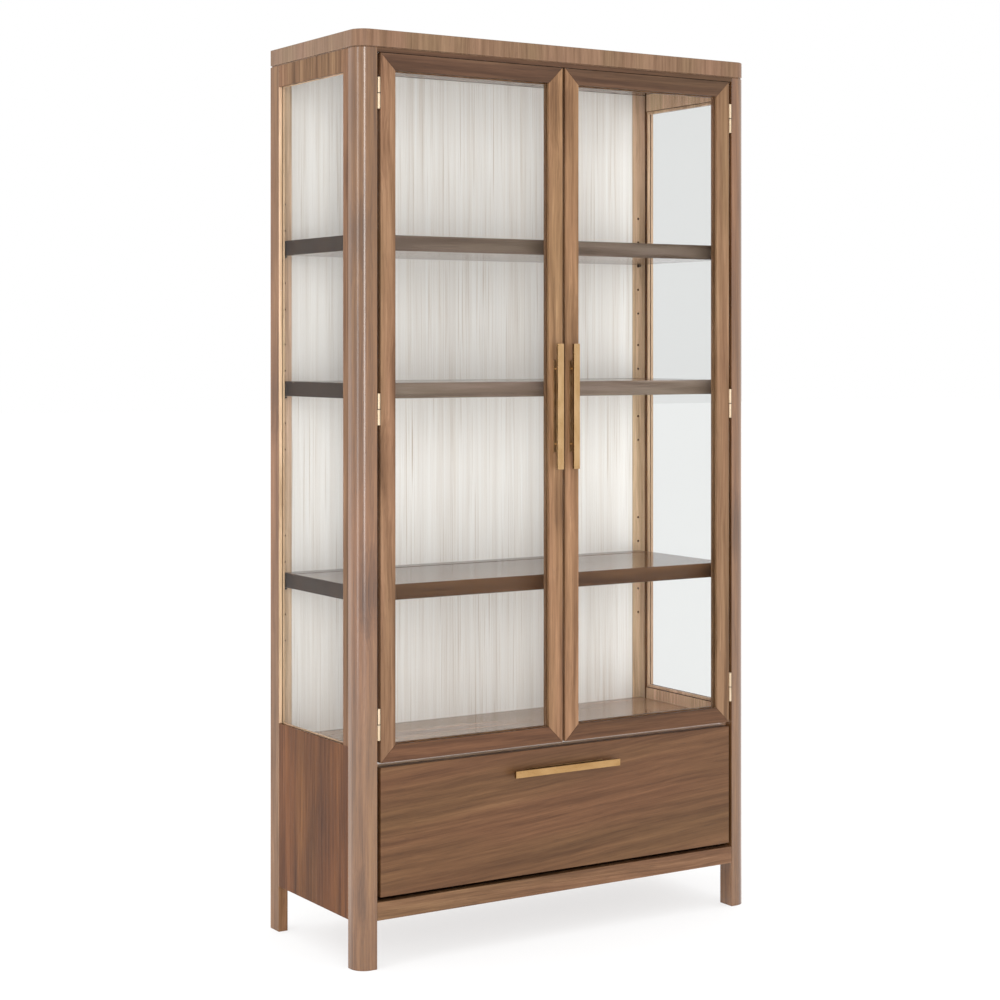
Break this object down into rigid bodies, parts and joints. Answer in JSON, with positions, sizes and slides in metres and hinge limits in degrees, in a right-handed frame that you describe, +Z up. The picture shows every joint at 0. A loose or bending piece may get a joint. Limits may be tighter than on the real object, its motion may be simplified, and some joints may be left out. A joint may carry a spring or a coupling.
{
  "type": "china cabinet",
  "caption": "Tall walnut china cabinet with glazed doors and sides, adjustable shelves, a wide drawer below and bar pulls.",
  "frame": {"origin": "floor level, middle of the whole object's box, pulls included", "axes": "+Z up along the cabinet's height, +X to the viewer's right, +Y to the back"},
  "size_m": [1.122, 0.467, 2.134],
  "materials": {
    "walnut": "mid-brown walnut veneer and solid walnut, satin lacquer",
    "dark_walnut": "darker walnut, polished",
    "striated_panel": "off-white with fine, uneven vertical striations",
    "clear_glass": "clear, polished edges",
    "brushed_brass": "brushed, warm",
    "slide_steel": "zinc plated",
    "drawer_wood": "pale hardwood, matt lacquer"
  },
  "bodies": {
    "case": {"top_panel": "walnut", "front_post_left": "walnut", "rear_post_left": "walnut", "side_frame_left": "walnut", "side_glass_left": "clear_glass", "side_glass_bead_left": "dark_walnut", "case_slide_left": "slide_steel", "slide_cleat_left": "walnut", "front_post_right": "walnut", "rear_post_right": "walnut", "side_frame_right": "walnut", "side_glass_right": "clear_glass", "side_glass_bead_right": "dark_walnut", "case_slide_right": "slide_steel", "slide_cleat_right": "walnut", "back_panel": "striated_panel", "display_deck": "walnut", "case_bottom": "walnut", "front_bottom_rail": "walnut", "header_rail": "walnut", "lower_shelf": "dark_walnut", "middle_shelf": "dark_walnut", "upper_shelf": "dark_walnut", "bottom_hinge_post_leaf_left": "brushed_brass", "bottom_hinge_post_leaf_right": "brushed_brass", "middle_hinge_post_leaf_left": "brushed_brass", "middle_hinge_post_leaf_right": "brushed_brass", "top_hinge_post_leaf_left": "brushed_brass", "top_hinge_post_leaf_right": "brushed_brass"},
    "door_left": {"left_door_hinge_stile": "walnut", "left_door_meeting_stile": "walnut", "left_door_top_rail": "walnut", "left_door_bottom_rail": "walnut", "left_door_glass": "clear_glass", "left_door_pull_plate": "brushed_brass", "left_door_pull_bar": "brushed_brass", "bottom_hinge_door_leaf_left": "brushed_brass", "middle_hinge_door_leaf_left": "brushed_brass", "top_hinge_door_leaf_left": "brushed_brass"},
    "door_right": {"right_door_hinge_stile": "walnut", "right_door_meeting_stile": "walnut", "right_door_top_rail": "walnut", "right_door_bottom_rail": "walnut", "right_door_glass": "clear_glass", "right_door_pull_plate": "brushed_brass", "right_door_pull_bar": "brushed_brass", "bottom_hinge_door_leaf_right": "brushed_brass", "middle_hinge_door_leaf_right": "brushed_brass", "top_hinge_door_leaf_right": "brushed_brass"},
    "drawer": {"drawer_front": "walnut", "drawer_side_left": "drawer_wood", "drawer_side_right": "drawer_wood", "drawer_back": "drawer_wood", "drawer_bottom": "drawer_wood", "drawer_pull_plate": "brushed_brass", "drawer_pull_bar": "brushed_brass", "drawer_slide_left": "slide_steel", "drawer_slide_right": "slide_steel"}
  },
  "joints": [
    {"name": "door_left_hinge", "type": "hinge", "parent": "case", "child": "door_left", "pos_m": [-0.5065, -0.2105, 1.271], "axis": [0, 0, -1], "range_deg": [0, 110]},
    {"name": "door_right_hinge", "type": "hinge", "parent": "case", "child": "door_right", "pos_m": [0.5065, -0.2105, 1.271], "axis": [0, 0, 1], "range_deg": [0, 110]},
    {"name": "drawer_slide", "type": "slide", "parent": "case", "child": "drawer", "axis": [0, -1, 0], "range_m": [0, 0.26]}
  ]
}
